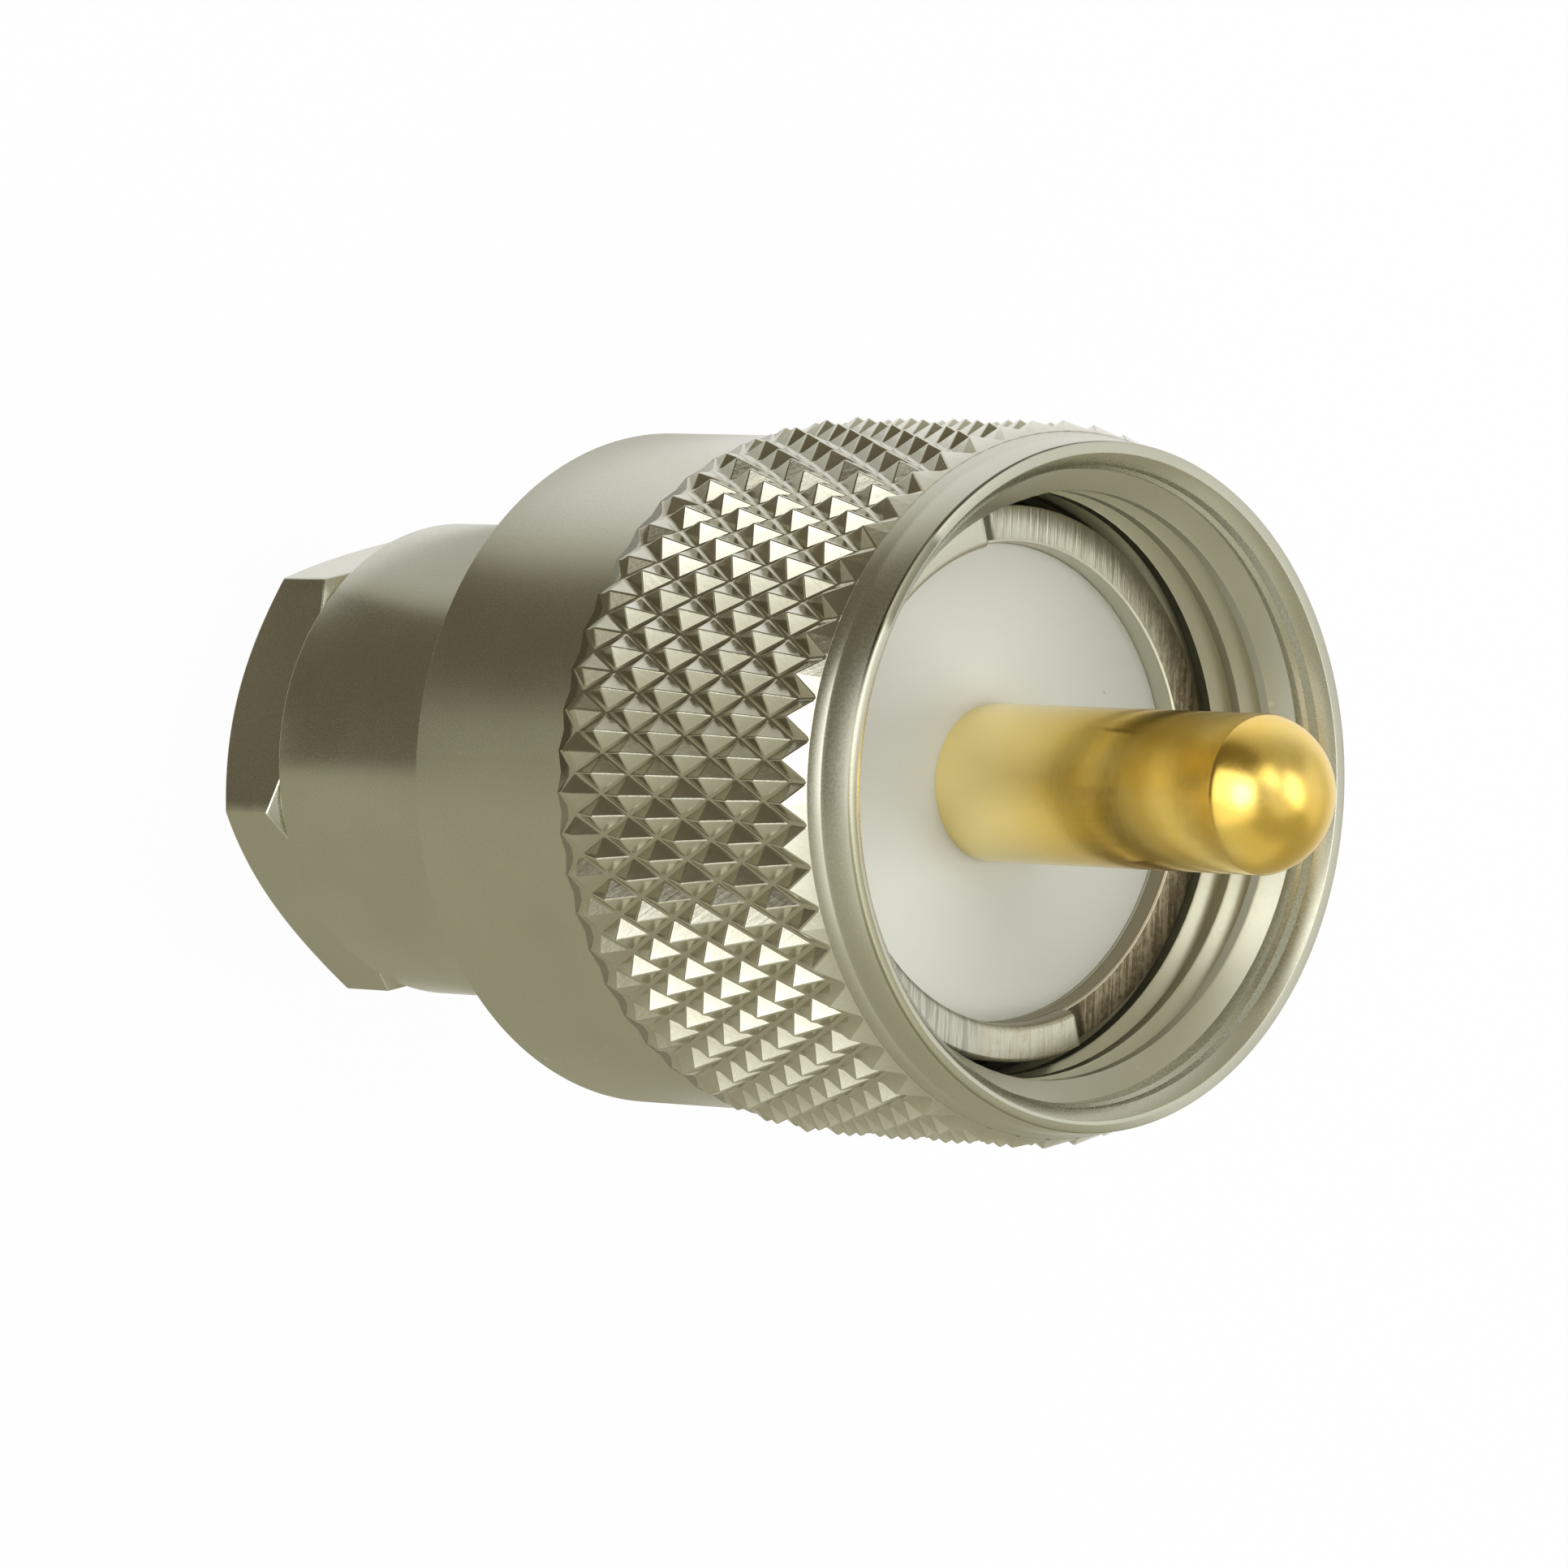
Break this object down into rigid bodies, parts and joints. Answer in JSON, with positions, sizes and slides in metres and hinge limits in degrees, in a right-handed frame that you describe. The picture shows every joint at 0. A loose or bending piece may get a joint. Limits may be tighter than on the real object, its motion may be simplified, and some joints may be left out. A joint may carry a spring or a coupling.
{
  "type": "uhf male plug",
  "caption": "Coaxial UHF male plug for thin cable: diamond-knurled coupling nut, gilt centre pin in a white insulator, plain barrel and hexagonal clamp nut.",
  "frame": {"origin": "centre of the clamp nut's flat rear face, on which the plug stands", "axes": "+Z along the plug's axis towards the tip of the centre pin; +X square to it and away from the side of the knurled nut that the reference view shows; +Y completes the right-hand set"},
  "size_m": [0.0184, 0.0184, 0.0343],
  "materials": {
    "nickel_plate": "satin nickel plate on brass",
    "spring_brass": "plain brass",
    "white_polymer": "machined, off-white",
    "gold_plate": "satin gold plate",
    "black_rubber": "matt"
  },
  "bodies": {
    "shell": {"front_body": "nickel_plate", "rear_body": "nickel_plate", "insulator": "white_polymer", "centre_pin": "gold_plate", "braid_ferrule": "nickel_plate", "gasket": "black_rubber"},
    "guide": {"guide_ring": "spring_brass"},
    "coupling": {"coupling_nut": "nickel_plate"},
    "thrust": {"thrust_washer": "spring_brass"},
    "clamp": {"clamp_nut": "nickel_plate"}
  },
  "joints": [
    {"name": "coupling_slide", "type": "slide", "parent": "shell", "child": "guide", "axis": [0, 0, 1], "range_m": [0, 0.00475]},
    {"name": "coupling_spin", "type": "hinge", "parent": "guide", "child": "coupling", "pos_m": [0, 0, 0.0137], "axis": [0, 0, 1], "continuous": true},
    {"name": "clamp_travel", "type": "slide", "parent": "shell", "child": "thrust", "axis": [0, 0, 1], "range_m": [-0.00225, 0]},
    {"name": "clamp_turn", "type": "hinge", "parent": "thrust", "child": "clamp", "pos_m": [0, 0, 0.0031], "axis": [0, 0, 1], "range_deg": [-1080, 0]}
  ],
  "couplings": [
    {"joint": "clamp_turn", "follows": "clamp_travel", "rad_per_m": 8377.6}
  ]
}
